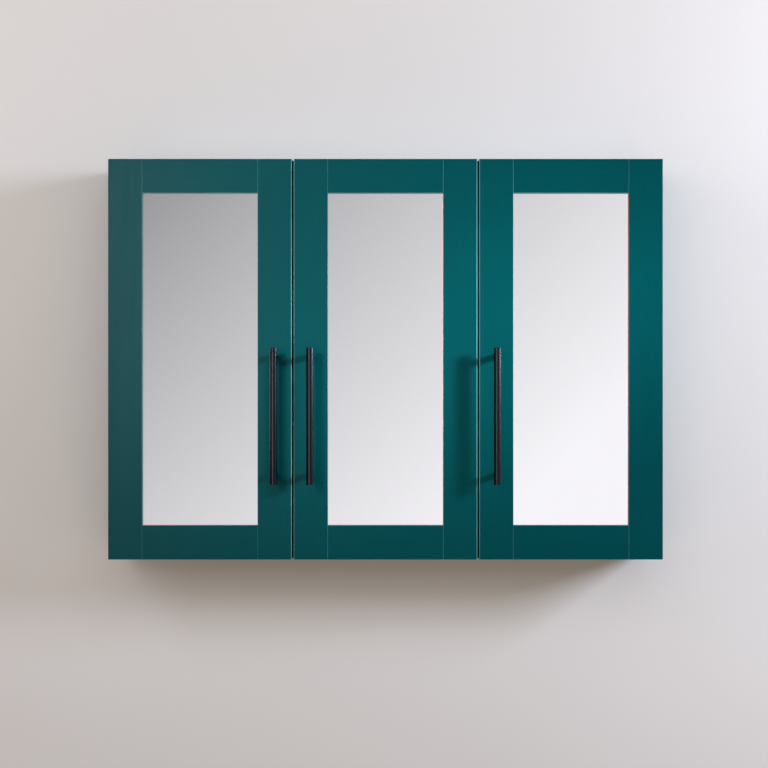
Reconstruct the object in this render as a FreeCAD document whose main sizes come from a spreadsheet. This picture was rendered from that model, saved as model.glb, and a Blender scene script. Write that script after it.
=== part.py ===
import FreeCAD, Part
import os
import re

import Sketcher

# Wall-hung cabinet with three framed mirror doors.
# +X is to the right, +Y is towards the wall and +Z is up.
# The origin is the middle of the back, on the wall.

# Every size in millimetres, and each is set here only.
SIZES = {
    # carcass
    "cab_width": 900,
    "cab_height": 650,
    "carcass_depth": 127.5,
    "board": 16,
    "board_round": 0.8,
    "back_thick": 6,
    "back_lap": 8,
    "back_play": 0.25,
    "dowel_dia": 8,
    "dowel_length": 30,
    "dowel_bite": 10,
    "dowel_room": 0.5,
    "dowel_inset": 30,
    "glue_play": 0.05,
    "hang_rail_tall": 60,
    "hang_rail_thick": 16,
    "wall_hole_dia": 6.5,
    "wall_hole_inset": 50,
    "back_hole_dia": 9,
    # shelves
    "shelf_thick": 6,
    "shelf_depth": 100,
    "shelf_back_gap": 3,
    "shelf_end_play": 2,
    "shelf_level": 108,
    "shelf_edge": 0.8,
    "pin_dia": 5,
    "pin_shank": 7.2,
    "pin_hole_depth": 7.5,
    "pin_collar_dia": 8,
    "pin_collar": 1.5,
    "pin_peg": 7,
    "pin_flat": 1.5,
    "pin_hole_pitch": 32,
    "pin_row_front": 40,
    "pin_row_back": 34,
    # doors
    "door_gap": 3,
    "door_standoff": 2.5,
    "door_thick": 20,
    "stile_width": 55.5,
    "rail_width": 55.5,
    "groove_depth": 10,
    "tenon_length": 9.5,
    "tenon_play": 0.1,
    "panel_recess": 4,
    "panel_thick": 6,
    "mirror_thick": 4,
    "sheet_play": 0.1,
    "sheet_lap": 8,
    "edge_round": 1.5,
    "inner_round": 0.6,
    "buffer_dia": 8,
    "buffer_inset": 12,
    "buffer_play": 0.3,
    # handles
    "bar_dia": 12,
    "bar_length": 220,
    "bar_bevel": 0.6,
    "bar_standoff": 29,
    "post_dia": 10,
    "post_spacing": 192,
    "post_bore": 12,
    "handle_drop": 92,
    "handle_screw_dia": 4,
    "handle_screw_play": 0.3,
    "handle_screw_bite": 10,
    "handle_head_dia": 8,
    "handle_head": 2.4,
    # hinges, placed from the door's hinge edge and from the carcass front
    "hinge_spread": 450,
    "cup_inset": 22.5,
    "cup_dia": 34.8,
    "cup_depth": 11.9,
    "cup_wall": 1,
    "cup_play": 0.1,
    "flange_thick": 1,
    "flange_front": 1.5,
    "flange_back": 17.5,
    "flange_reach": 29,
    "flange_round": 5,
    "cup_screw_offset": 9.5,
    "cup_screw_spacing": 45,
    "cup_screw_dia": 3.5,
    "cup_screw_bite": 12,
    "cup_head_dia": 7,
    "cup_head": 1.5,
    "cheek_half": 9.5,
    "cheek_from": 14.3,
    "cheek_to": 5,
    "cheek_top": 1.5,
    "mouth_half": 6.4,
    "lug_half": 1.5,
    "lug_round": 2.2,
    "lug_play": 0.4,
    "lug_room": 1,
    "arm_pin_dia": 3,
    "cup_pin_dia": 2.5,
    "pivot_play": 0.05,
    "open_play": 0.85,
    "inner_arm_u": 34.9,
    "inner_arm_y": 1.2,
    "outer_arm_u": 30.2,
    "outer_arm_y": 20,
    "inner_cup_u": 8.5,
    "inner_cup_depth": 6.5,
    "outer_cup_u": 12.6,
    "outer_cup_depth": 5.1,
    "inner_bend_u": 13.4,
    "inner_bend_depth": 2.7,
    "outer_bend_u": 5.8,
    "outer_bend_depth": 8.1,
    "eye_shift_u": 0.26,
    "eye_shift_y": 0.74,
    "link_half": 1.3,
    "arm_eye": 2.7,
    "inner_arm_eye": 2.3,
    "outer_cup_eye": 2.3,
    "inner_cup_eye": 3,
    "outer_link_half": 6.1,
    "outer_link_cheek": 1.3,
    "fork_start": 9,
    "inner_link_half": 4.4,
    "arm_half": 7.6,
    "arm_wall": 1.2,
    "arm_nose": 3.2,
    "arm_back": 60,
    "arm_shoulder": 28,
    "web_front": 27,
    "web_top": 31,
    "plate_top": 18,
    "plate_line": 37,
    "plate_half": 9,
    "plate_reach": 24,
    "plate_round": 4,
    "saddle_top": 24,
    "saddle_play": 0.2,
    "saddle_front": 30,
    "saddle_back": 57,
    "plate_screw_spacing": 32,
    "plate_screw_dia": 3.5,
    "plate_screw_bite": 11,
    "plate_head_dia": 7,
    "plate_head": 2.2,
    "adjust_line": 34,
    "adjust_dia": 5,
    "adjust_proud": 0.6,
    "fix_line": 49,
    "fix_dia": 4,
    "fix_bite": 4,
    "fix_head_dia": 8,
    "fix_head": 1.8,
}

# Measures that follow from the sizes.
DOOR_WIDTH = "((cab_width - 2 * door_gap) / 3)"
SIDE_IN = "(cab_width / 2 - board)"
TOP_IN = "(cab_height / 2 - board)"
PARTITION_X = "(cab_width / 2 - %s - door_gap / 2)" % DOOR_WIDTH
SIDE_OVERLAY = "board"
PARTITION_OVERLAY = "((board - door_gap) / 2)"
DOOR_FRONT = "(door_standoff + door_thick)"
PANEL_BACK = "(door_standoff + panel_recess)"
SHEETS = "(panel_thick + mirror_thick)"
GROOVE = "(%s + 2 * sheet_play)" % SHEETS
GROOVE_MIDDLE = "(%s + %s / 2)" % (PANEL_BACK, SHEETS)
WALL_LEVEL = "(%s - hang_rail_tall / 2)" % TOP_IN
WALL_HOLE = "(cab_width / 2 - wall_hole_inset)"
ROW_FRONT = "(pin_row_front - carcass_depth)"
ROW_BACK = "(0 - back_thick - pin_row_back)"
PIN_HOLE_RADIUS = "(pin_dia / 2 + glue_play)"
DOWEL_RADIUS = "(dowel_dia / 2 + glue_play)"
DOWEL_LONG = "(dowel_length - dowel_bite)"
DOWEL_ROWS = ("(0 - dowel_inset)", "(dowel_inset - carcass_depth)")

# Hinge pins in the hinge's own plane: along the door from its edge, and back from the carcass front.
INNER_ARM = ("inner_arm_u", "inner_arm_y")
OUTER_ARM = ("outer_arm_u", "outer_arm_y")
INNER_CUP = ("(cup_inset - inner_cup_u)", "(0 - door_standoff - inner_cup_depth)")
OUTER_CUP = ("(cup_inset - outer_cup_u)", "(0 - door_standoff - outer_cup_depth)")
INNER_BEND = ("(cup_inset + inner_bend_u)", "(0 - door_standoff - inner_bend_depth)")
OUTER_BEND = ("(cup_inset - outer_bend_u)", "(0 - door_standoff - outer_bend_depth)")
INNER_EYE = ("(%s + eye_shift_u)" % INNER_CUP[0], "(%s - eye_shift_y)" % INNER_CUP[1])

# Each door: its name, where its hinge edge is, and which way it runs from there.
DOORS = (
    ("left", "(0 - cab_width / 2)", 1, SIDE_OVERLAY),
    ("middle", "(2 * %s + door_gap - cab_width / 2)" % DOOR_WIDTH, -1, PARTITION_OVERLAY),
    ("right", "(cab_width / 2)", -1, SIDE_OVERLAY),
)
ENDS = (-1, 1)

doc = FreeCAD.newDocument("mirror_cabinet")
sheet = doc.addObject("Spreadsheet::Sheet", "Sizes")
for row, (name, size) in enumerate(SIZES.items(), 1):
    sheet.set("A%d" % row, name)
    sheet.set("B%d" % row, str(size))
    sheet.setAlias("B%d" % row, name)
doc.recompute()

nodes = []


def sized(text):
    """The expression with each size read from the sheet."""
    return re.sub(r"[a-z]\w*", lambda word: "Sizes." + word[0] if word[0] in SIZES else word[0], text)


def value(text):
    """The number that an expression stands for now."""
    result = sheet.evalExpression(sized(text))
    return float(getattr(result, "Value", result))


def tie(item, prop, text):
    item.setExpression(prop, sized(text))


def new_body(label):
    body = doc.addObject("PartDesign::Body", label)
    body.Label = label
    return body


def place(item, x="0", y="0", z="0"):
    tie(item, "Placement.Base.x", x)
    tie(item, "Placement.Base.y", y)
    tie(item, "Placement.Base.z", z)


def new_sketch(body, plane, offset="0"):
    """A sketch on one of the body's own planes, moved along that plane's normal."""
    item = body.newObject("Sketcher::SketchObject", body.Label + "_profile")
    planes = {feature.Role: feature for feature in body.Origin.OriginFeatures}
    item.AttachmentSupport = [(planes[plane], "")]
    item.MapMode = "FlatFace"
    tie(item, "AttachmentOffset.Base.z", offset)
    return item


def hold(item, kind, where, text):
    number = item.addConstraint(Sketcher.Constraint(kind, *where, value(text)))
    tie(item, "Constraints[%d]" % number, text)


def polygon(item, *corners):
    first = item.GeometryCount
    count = len(corners)
    spots = [FreeCAD.Vector(value(x), value(y), 0) for x, y in corners]
    for k in range(count):
        item.addGeometry(Part.LineSegment(spots[k], spots[(k + 1) % count]), False)
    for k in range(count):
        item.addConstraint(Sketcher.Constraint("Coincident", first + k, 2, first + (k + 1) % count, 1))
    for k, (x, y) in enumerate(corners):
        hold(item, "DistanceX", (-1, 1, first + k, 1), x)
        hold(item, "DistanceY", (-1, 1, first + k, 1), y)


def rectangle(item, x0, x1, y0, y1):
    polygon(item, (x0, y0), (x1, y0), (x1, y1), (x0, y1))


def circle(item, x, y, radius):
    middle = FreeCAD.Vector(value(x), value(y), 0)
    number = item.addGeometry(Part.Circle(middle, FreeCAD.Vector(0, 0, 1), value(radius)), False)
    hold(item, "DistanceX", (-1, 1, number, 3), x)
    hold(item, "DistanceY", (-1, 1, number, 3), y)
    hold(item, "Radius", (number,), radius)


def prism(kind, body, plane, middle, thick, *shapes):
    """A Pad or a Pocket that reaches equally to both sides of its middle plane."""
    item = new_sketch(body, plane, middle)
    for draw, *where in shapes:
        draw(item, *where)
    feature = body.newObject("PartDesign::" + kind, body.Label + "_" + kind.lower())
    feature.Profile = item
    feature.SideType = "Symmetric"
    tie(feature, "Length", thick)
    return feature


def pad(body, plane, middle, thick, *shapes):
    return prism("Pad", body, plane, middle, thick, *shapes)


def pocket(body, plane, middle, thick, *shapes):
    return prism("Pocket", body, plane, middle, thick, *shapes)


def bar(body, start, end, half, thick):
    """A straight strip between two points of the XY plane."""
    run = "(%s - %s)" % (end[0], start[0])
    rise = "(%s - %s)" % (end[1], start[1])
    item = new_sketch(body, "XY_Plane")
    tie(item, "AttachmentOffset.Base.x", start[0])
    tie(item, "AttachmentOffset.Base.y", start[1])
    tie(item, "AttachmentOffset.Rotation.Angle", "atan2(%s; %s)" % (rise, run))
    rectangle(item, "0", "sqrt(%s^2 + %s^2)" % (run, rise), "0 - " + half, half)
    feature = body.newObject("PartDesign::Pad", body.Label + "_strip")
    feature.Profile = item
    feature.SideType = "Symmetric"
    tie(feature, "Length", thick)


def turned(body, plane, axis, *corners, offset=("0", "0")):
    """A closed profile turned about one axis of its sketch."""
    item = new_sketch(body, plane)
    tie(item, "AttachmentOffset.Base.x", offset[0])
    tie(item, "AttachmentOffset.Base.y", offset[1])
    polygon(item, *corners)
    feature = body.newObject("PartDesign::Revolution", body.Label + "_turned")
    feature.Profile = item
    feature.ReferenceAxis = (item, [axis])
    feature.Angle = 360
    return feature


def soften(body, radius, pick):
    """Rounds the edges that a test picks out."""
    doc.recompute()
    last = body.Tip
    edges = ["Edge%d" % k for k, edge in enumerate(last.Shape.Edges, 1) if pick(edge.BoundBox)]
    if not edges:
        raise ValueError("no edge to round on " + body.Label)
    feature = body.newObject("PartDesign::Fillet", body.Label + "_round")
    feature.Base = (last, edges)
    tie(feature, "Radius", radius)


def near(a, b):
    return abs(a - b) < 1e-4


def rod(label, radius, height):
    """A plain round rod along its own Z axis."""
    item = doc.addObject("Part::Cylinder", label)
    item.Label = label
    tie(item, "Radius", radius)
    tie(item, "Height", height)
    return item


def copy(master, x="0", y="0", z="0", axis=None, angle=180):
    """A copy of a master piece, turned about an axis if one is given, then placed."""
    item = doc.addObject("App::Link", master.Label + "_copy")
    item.LinkedObject = master
    if axis:
        item.Placement = FreeCAD.Placement(FreeCAD.Vector(), FreeCAD.Rotation(FreeCAD.Vector(*axis), angle))
    place(item, x, y, z)
    return item


def group(label, copies):
    item = doc.addObject("Part::Compound", label)
    item.Label = label
    item.Links = copies
    nodes.append(item)
    return item


def node(item):
    nodes.append(item)
    return item


def on_hinges(master, doors):
    """Copies of a hinge piece at both hinges of each door given."""
    copies = []
    for _, edge, way, _ in doors:
        for end in ENDS:
            height = "%d * hinge_spread / 2" % end
            axis = None if way > 0 else (0, 1, 0)
            copies.append(copy(master, edge, "0 - carcass_depth", height, axis))
    return copies


# Carcass boards.
def shelf_holes(body, face, way):
    """Three holes for each shelf pin, drilled from the face at x = face into the board."""
    middle = "%s + %d * pin_hole_depth / 2" % (face, way)
    holes = []
    for level in ENDS:
        for step in (-1, 0, 1):
            height = "%d * shelf_level - pin_flat + %d * pin_hole_pitch" % (level, step)
            for row in (ROW_FRONT, ROW_BACK):
                holes.append((circle, row, height, PIN_HOLE_RADIUS))
    pocket(body, "YZ_Plane", middle, "pin_hole_depth", *holes)


def plate_holes(body, face, way):
    """Pilot holes for the screws of two hinge plates."""
    middle = "%s + %d * plate_screw_bite / 2" % (face, way)
    holes = []
    for hinge in ENDS:
        for side in ENDS:
            height = "%d * hinge_spread / 2 + %d * plate_screw_spacing / 2" % (hinge, side)
            holes.append((circle, "plate_line - carcass_depth", height, "plate_screw_dia / 2 + glue_play"))
    pocket(body, "YZ_Plane", middle, "plate_screw_bite", *holes)


def dowel_ends(body, plane, middle, depth, height):
    """Holes for the dowels in one end or face of a board."""
    holes = [(circle, row, height, DOWEL_RADIUS) for row in DOWEL_ROWS]
    pocket(body, plane, middle, depth, *holes)


def ease_front(body):
    """Rounds the two long edges at the front of a board."""
    front = -value("carcass_depth")
    soften(body, "board_round",
           lambda box: near(box.YMin, front) and near(box.YMax, front) and box.DiagonalLength > 2 * value("board"))


def side_panel(label, side):
    body = new_body(label)
    place(body, "%d * cab_width / 2" % side)
    inner = "(%d * board)" % -side
    pad(body, "YZ_Plane", inner + " / 2", "board",
        (rectangle, "0 - carcass_depth", "0", "0 - cab_height / 2", "cab_height / 2"))
    reach = "(%s + back_lap)" % TOP_IN
    pocket(body, "YZ_Plane", "%d * (board - back_lap / 2)" % -side, "back_lap",
           (rectangle, "0 - back_thick", "0", "0 - " + reach, reach))
    depth = "(dowel_bite + dowel_room)"
    for end in ENDS:
        dowel_ends(body, "YZ_Plane", "%s + %d * %s / 2" % (inner, side, depth), depth,
                   "%d * (%s + board / 2)" % (end, TOP_IN))
    shelf_holes(body, inner, side)
    plate_holes(body, inner, side)
    ease_front(body)
    return node(body)


def flat_panel(label, end):
    """The top or the bottom, between the sides."""
    body = new_body(label)
    place(body, z="%d * %s" % (end, TOP_IN))
    pad(body, "XY_Plane", "%d * board / 2" % end, "board",
        (rectangle, "0 - " + SIDE_IN, SIDE_IN, "0 - carcass_depth", "0"))
    pocket(body, "XY_Plane", "%d * back_lap / 2" % end, "back_lap",
           (rectangle, "0 - " + SIDE_IN, SIDE_IN, "0 - back_thick", "0"))
    depth = "(%s + dowel_room)" % DOWEL_LONG
    for side in ENDS:
        dowel_ends(body, "YZ_Plane", "%d * (%s - %s / 2)" % (side, SIDE_IN, depth), depth, "%d * board / 2" % end)
    bite = "(dowel_bite + dowel_room)"
    holes = [(circle, PARTITION_X, row, DOWEL_RADIUS) for row in DOWEL_ROWS]
    pocket(body, "XY_Plane", "%d * %s / 2" % (end, bite), bite, *holes)
    ease_front(body)
    return node(body)


side_panel("side_panel_left", -1)
side_panel("side_panel_right", 1)
flat_panel("top_panel", 1)
flat_panel("bottom_panel", -1)

partition = node(new_body("partition"))
place(partition, PARTITION_X)
pad(partition, "YZ_Plane", "0", "board",
    (rectangle, "0 - carcass_depth", "0 - back_thick", "0 - " + TOP_IN, TOP_IN))
long_bite = "(%s + dowel_room)" % DOWEL_LONG
for end in ENDS:
    end_holes = [(circle, "0", row, DOWEL_RADIUS) for row in DOWEL_ROWS]
    pocket(partition, "XY_Plane", "%d * (%s - %s / 2)" % (end, TOP_IN, long_bite), long_bite, *end_holes)
shelf_holes(partition, "(0 - board / 2)", 1)
shelf_holes(partition, "(board / 2)", -1)
plate_holes(partition, "(0 - board / 2)", 1)
ease_front(partition)

back_panel = node(new_body("back_panel"))
half_wide = "(%s + back_lap - back_play)" % SIDE_IN
half_tall = "(%s + back_lap - back_play)" % TOP_IN
pad(back_panel, "XZ_Plane", "back_thick / 2", "back_thick",
    (rectangle, "0 - " + half_wide, half_wide, "0 - " + half_tall, half_tall))
pocket(back_panel, "XZ_Plane", "back_thick / 2", "back_thick",
       *[(circle, "%d * %s" % (side, WALL_HOLE), WALL_LEVEL, "back_hole_dia / 2") for side in ENDS])

# The two bays, from the left: where each begins and ends.
BAYS = (
    ("wide", "(0 - %s)" % SIDE_IN, "(%s - board / 2)" % PARTITION_X, -1),
    ("narrow", "(%s + board / 2)" % PARTITION_X, SIDE_IN, 1),
)
hanging = []
for bay, left, right, side in BAYS:
    rail = new_body("hanging_rail_" + bay)
    middle = "back_thick + hang_rail_thick / 2"
    pad(rail, "XZ_Plane", middle, "hang_rail_thick",
        (rectangle, left, right, TOP_IN + " - hang_rail_tall", TOP_IN))
    pocket(rail, "XZ_Plane", middle, "hang_rail_thick",
           (circle, "%d * %s" % (side, WALL_HOLE), WALL_LEVEL, "wall_hole_dia / 2"))
    hanging.append(copy(rail))
group("hanging_rails", hanging)

# Glass shelves and the pins that carry them.
pin = new_body("shelf_pin")
turned(pin, "XY_Plane", "H_Axis",
       ("0 - pin_shank", "0"), ("0 - pin_shank", "pin_dia / 2"), ("0", "pin_dia / 2"), ("0", "pin_collar_dia / 2"),
       ("pin_collar", "pin_collar_dia / 2"), ("pin_collar", "pin_dia / 2"),
       ("pin_collar + pin_peg", "pin_dia / 2"), ("pin_collar + pin_peg", "0"))
pocket(pin, "XZ_Plane", "0", "2 * pin_dia",
       (rectangle, "pin_collar", "pin_collar + 2 * pin_peg", "pin_flat", "pin_flat + pin_dia"))
pins = []
for bay, left, right, _ in BAYS:
    shelf = new_body("glass_shelf_" + bay)
    front = "(back_thick + shelf_back_gap + shelf_depth)"
    pad(shelf, "XY_Plane", "shelf_thick / 2", "shelf_thick",
        (rectangle, left + " + shelf_end_play", right + " - shelf_end_play",
         "0 - " + front, "0 - back_thick - shelf_back_gap"))
    soften(shelf, "shelf_edge", lambda box: near(box.YMax, -value(front)) and box.XLength > 1)
    group("glass_shelves_" + bay, [copy(shelf, z="%d * shelf_level" % level) for level in ENDS])
    for level in ENDS:
        for row in (ROW_FRONT, ROW_BACK):
            height = "%d * shelf_level - pin_flat" % level
            pins.append(copy(pin, left, row, height))
            pins.append(copy(pin, right, row, height, (0, 0, 1)))
group("shelf_pins", pins)

# Dowels along X at the four corners, and upright in the partition.
dowel = rod("dowel", "dowel_dia / 2", "dowel_length")
dowels = []
for end in ENDS:
    height = "%d * (%s + board / 2)" % (end, TOP_IN)
    for row in DOWEL_ROWS:
        dowels.append(copy(dowel, "0 - %s - dowel_bite" % SIDE_IN, row, height, (0, 1, 0), 90))
        dowels.append(copy(dowel, SIDE_IN + " + dowel_bite", row, height, (0, 1, 0), -90))
        upright = "%d * (%s + dowel_bite)" % (end, TOP_IN)
        dowels.append(copy(dowel, PARTITION_X, row, upright, (1, 0, 0), 180 if end > 0 else 0))
group("carcass_dowels", dowels)

# Soft buffers on the front edges of the top and the bottom, at each door's free side.
buffer = rod("buffer", "buffer_dia / 2", "door_standoff - buffer_play")
buffers = []
for _, edge, way, _ in DOORS:
    for end in ENDS:
        across = "%s + %d * (%s - buffer_inset)" % (edge, way, DOOR_WIDTH)
        buffers.append(copy(buffer, across, "0 - carcass_depth", "%d * (%s + board / 2)" % (end, TOP_IN),
                            (1, 0, 0), 90))
group("door_buffers", buffers)


# Hinge pieces that stay on the carcass.
def hinge_plate(label, overlay):
    """A cross-shaped plate on the board, with the saddle that the arm straddles."""
    body = new_body(label)
    lift = "(plate_top - %s)" % overlay
    middle = "(plate_top + %s) / 2" % overlay
    pad(body, "YZ_Plane", middle, lift,
        (rectangle, "plate_line - plate_half", "plate_line + plate_half", "0 - plate_reach", "plate_reach"))
    soften(body, "plate_round", lambda box: box.XLength > 0.1 and box.YLength < 1e-6 and box.ZLength < 1e-6)
    pad(body, "YZ_Plane", middle, lift,
        (rectangle, "saddle_front", "saddle_back", "0 - arm_half", "arm_half"))
    half = "(arm_half - arm_wall - saddle_play)"
    pad(body, "YZ_Plane", "(saddle_top + plate_top) / 2", "saddle_top - plate_top",
        (rectangle, "saddle_front", "saddle_back", "0 - " + half, half))
    pocket(body, "YZ_Plane", middle, lift,
           *[(circle, "plate_line", "%d * plate_screw_spacing / 2" % side, "plate_screw_dia / 2 + glue_play")
             for side in ENDS])
    pocket(body, "YZ_Plane", "saddle_top - fix_bite / 2", "fix_bite",
           (circle, "fix_line", "0", "fix_dia / 2 + glue_play"))
    return body


def plate_screw(label, overlay):
    body = new_body(label)
    tip = "(%s - plate_screw_bite + dowel_room)" % overlay
    turned(body, "XY_Plane", "H_Axis",
           (tip, "0"), (tip + " + plate_screw_dia / 2", "plate_screw_dia / 2"), ("plate_top", "plate_screw_dia / 2"),
           ("plate_top", "plate_head_dia / 2"), ("plate_top + plate_head / 2", "plate_head_dia / 2"),
           ("plate_top + plate_head", "plate_head_dia / 4"), ("plate_top + plate_head", "0"))
    return body


plates = []
plate_screws = []
for overlay, doors in ((SIDE_OVERLAY, (DOORS[0], DOORS[2])), (PARTITION_OVERLAY, (DOORS[1],))):
    kind = "side" if overlay == SIDE_OVERLAY else "partition"
    plates += on_hinges(hinge_plate("hinge_plate_" + kind, overlay), doors)
    screw = plate_screw("plate_screw_" + kind, overlay)
    for _, edge, way, _ in doors:
        for end in ENDS:
            for side in ENDS:
                height = "%d * hinge_spread / 2 + %d * plate_screw_spacing / 2" % (end, side)
                axis = None if way > 0 else (0, 1, 0)
                plate_screws.append(copy(screw, edge, "plate_line - carcass_depth", height, axis))
group("hinge_plates", plates)
group("hinge_plate_screws", plate_screws)

# The arm is a channel with its web towards the bay, open at the front where the links swing.
arm = new_body("hinge_arm")
nose_left = "(%s - arm_nose)"
nose_right = "(%s + arm_nose)"
pad(arm, "XY_Plane", "0", "2 * arm_half",
    (polygon, ("plate_top", "arm_back"), ("plate_top", "arm_shoulder"),
     (nose_left % OUTER_ARM[0], OUTER_ARM[1]), (nose_left % INNER_ARM[0], INNER_ARM[1]),
     (nose_right % INNER_ARM[0], INNER_ARM[1]), (nose_right % OUTER_ARM[0], OUTER_ARM[1]),
     ("web_top", "web_front"), ("web_top", "arm_back")))
pad(arm, "XY_Plane", "0", "2 * arm_half", (circle, *INNER_ARM, "arm_nose"))
pocket(arm, "XY_Plane", "0", "2 * (arm_half - arm_wall)",
       (polygon, ("0", "arm_back + arm_wall"), ("web_top - arm_wall", "arm_back + arm_wall"),
        ("web_top - arm_wall", "web_front"), ("2 * web_top", "web_front"), ("2 * web_top", "0 - 2 * arm_nose"),
        ("0", "0 - 2 * arm_nose")))
pocket(arm, "XY_Plane", "0", "2 * arm_half + 2",
       *[(circle, *spot, "arm_pin_dia / 2") for spot in (INNER_ARM, OUTER_ARM)])
pocket(arm, "YZ_Plane", "web_top - arm_wall / 2", "arm_wall",
       (circle, "adjust_line", "0", "adjust_dia / 2 + glue_play"), (circle, "fix_line", "0", "fix_dia / 2 + glue_play"))
group("hinge_arms", on_hinges(arm, DOORS))

arm_pins = []
for label, spot in (("inner", INNER_ARM), ("outer", OUTER_ARM)):
    stud = new_body("arm_pin_" + label)
    pad(stud, "XY_Plane", "0", "2 * arm_half", (circle, *spot, "arm_pin_dia / 2"))
    arm_pins += on_hinges(stud, DOORS)
group("hinge_arm_pins", arm_pins)

adjuster = new_body("adjusting_screw")
pad(adjuster, "YZ_Plane", "(saddle_top + web_top + adjust_proud) / 2", "web_top + adjust_proud - saddle_top",
    (circle, "adjust_line", "0", "adjust_dia / 2"))
fixer = new_body("fixing_screw")
turned(fixer, "XY_Plane", "H_Axis",
       ("saddle_top - fix_bite", "0"), ("saddle_top - fix_bite", "fix_dia / 2"), ("web_top", "fix_dia / 2"),
       ("web_top", "fix_head_dia / 2"), ("web_top + fix_head / 2", "fix_head_dia / 2"),
       ("web_top + fix_head", "fix_head_dia / 3"), ("web_top + fix_head", "0"), offset=("0", "fix_line"))
group("hinge_arm_screws", on_hinges(adjuster, DOORS) + on_hinges(fixer, DOORS))

# Hinge links. The outer link is a fork, and the inner one swings between its tines.
outer_link = new_body("outer_link")
wide = "2 * outer_link_half"
bar(outer_link, OUTER_ARM, OUTER_BEND, "link_half", wide)
pad(outer_link, "XY_Plane", "0", wide, (circle, *OUTER_BEND, "link_half"))
bar(outer_link, OUTER_BEND, OUTER_CUP, "link_half", wide)
pad(outer_link, "XY_Plane", "0", wide, (circle, *OUTER_CUP, "outer_cup_eye"))
pad(outer_link, "XY_Plane", "0", wide, (circle, *OUTER_ARM, "arm_eye"))
pocket(outer_link, "XY_Plane", "0", "2 * (outer_link_half - outer_link_cheek)",
       (rectangle, "0", "2 * cup_inset", "0 - door_standoff - cup_depth", "fork_start"))
pocket(outer_link, "XY_Plane", "0", wide + " + 2", (circle, *OUTER_ARM, "arm_pin_dia / 2 + pivot_play"))
pocket(outer_link, "XY_Plane", "0", wide + " + 2", (circle, *OUTER_CUP, "cup_pin_dia / 2 + pivot_play"))

inner_link = new_body("inner_link")
wide = "2 * inner_link_half"
bar(inner_link, INNER_ARM, INNER_BEND, "link_half", wide)
pad(inner_link, "XY_Plane", "0", wide, (circle, *INNER_BEND, "link_half"))
bar(inner_link, INNER_BEND, INNER_EYE, "link_half", wide)
pad(inner_link, "XY_Plane", "0", wide, (circle, *INNER_ARM, "inner_arm_eye"))
pad(inner_link, "XY_Plane", "0", wide, (circle, *INNER_EYE, "inner_cup_eye"))
pocket(inner_link, "XY_Plane", "0", wide + " + 2", (circle, *INNER_ARM, "arm_pin_dia / 2 + pivot_play"))
pocket(inner_link, "XY_Plane", "0", wide + " + 2", (circle, *INNER_EYE, "cup_pin_dia / 2 + open_play"))
pocket(inner_link, "XY_Plane", "0", "2 * (lug_half + lug_play)", (circle, *INNER_EYE, "inner_cup_eye + lug_room"))

# Hinge cup: a round dish with a screw flange, two cheeks for the outer pins and a lug for the inner one.
cup = new_body("hinge_cup")
radius = "cup_dia / 2"
floor = "(0 - door_standoff - cup_depth)"
turned(cup, "XY_Plane", "V_Axis",
       ("0", floor), (radius, floor), (radius, "0 - door_standoff"), (radius + " - cup_wall", "0 - door_standoff"),
       (radius + " - cup_wall", floor + " + cup_wall"), ("0", floor + " + cup_wall"), offset=("cup_inset", "0"))
cheek = (rectangle, "cup_inset - cheek_from", "cup_inset - cheek_to", floor + " + cup_wall",
         "0 - door_standoff - cheek_top")
pad(cup, "XY_Plane", "0", "2 * cheek_half", cheek)
pocket(cup, "XY_Plane", "0", "2 * mouth_half", cheek)
pad(cup, "XY_Plane", "0", "2 * lug_half",
    (rectangle, INNER_CUP[0] + " - lug_round", INNER_CUP[0] + " + lug_round", floor + " + cup_wall / 2", INNER_CUP[1]))
pad(cup, "XY_Plane", "0", "2 * lug_half", (circle, *INNER_CUP, "lug_round"))
pocket(cup, "XY_Plane", "0", "2 * cheek_half", *[(circle, *spot, "cup_pin_dia / 2") for spot in (INNER_CUP, OUTER_CUP)])
flange = new_sketch(cup, "XZ_Plane", "door_standoff - flange_thick / 2")
rectangle(flange, "cup_inset + flange_front", "cup_inset + flange_back", "0 - flange_reach", "flange_reach")
flange_pad = cup.newObject("PartDesign::Pad", "flange_pad")
flange_pad.Profile = flange
flange_pad.SideType = "Symmetric"
tie(flange_pad, "Length", "flange_thick")
soften(cup, "flange_round", lambda box: near(box.YLength, value("flange_thick")) and near(abs(box.ZMin), value("flange_reach")))
pocket(cup, "XZ_Plane", "door_standoff - flange_thick / 2", "flange_thick",
       (circle, "cup_inset", "0", radius + " - cup_wall"))
pocket(cup, "XZ_Plane", "door_standoff - flange_thick / 2", "flange_thick",
       *[(circle, "cup_inset + cup_screw_offset", "%d * cup_screw_spacing / 2" % side, "cup_screw_dia / 2 + glue_play")
         for side in ENDS])

cup_studs = []
stud = new_body("cup_pin_inner")
pad(stud, "XY_Plane", "0", "2 * inner_link_half", (circle, *INNER_CUP, "cup_pin_dia / 2"))
cup_studs.append(stud)
for side in ENDS:
    stud = new_body("cup_pin_outer_" + ("low" if side < 0 else "high"))
    inner = "(outer_link_half - outer_link_cheek)"
    pad(stud, "XY_Plane", "%d * (cheek_half + %s) / 2" % (side, inner), "cheek_half - " + inner,
        (circle, *OUTER_CUP, "cup_pin_dia / 2"))
    cup_studs.append(stud)

cup_screw = new_body("cup_screw")
seat = "(flange_thick - door_standoff)"
turned(cup_screw, "XY_Plane", "V_Axis",
       ("0", seat + " - cup_screw_bite"), ("cup_screw_dia / 2", seat + " - cup_screw_bite + cup_screw_dia / 2"),
       ("cup_screw_dia / 2", seat), ("cup_head_dia / 2", seat), ("cup_head_dia / 2", seat + " + cup_head / 2"),
       ("cup_head_dia / 4", seat + " + cup_head"), ("0", seat + " + cup_head"))

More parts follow.
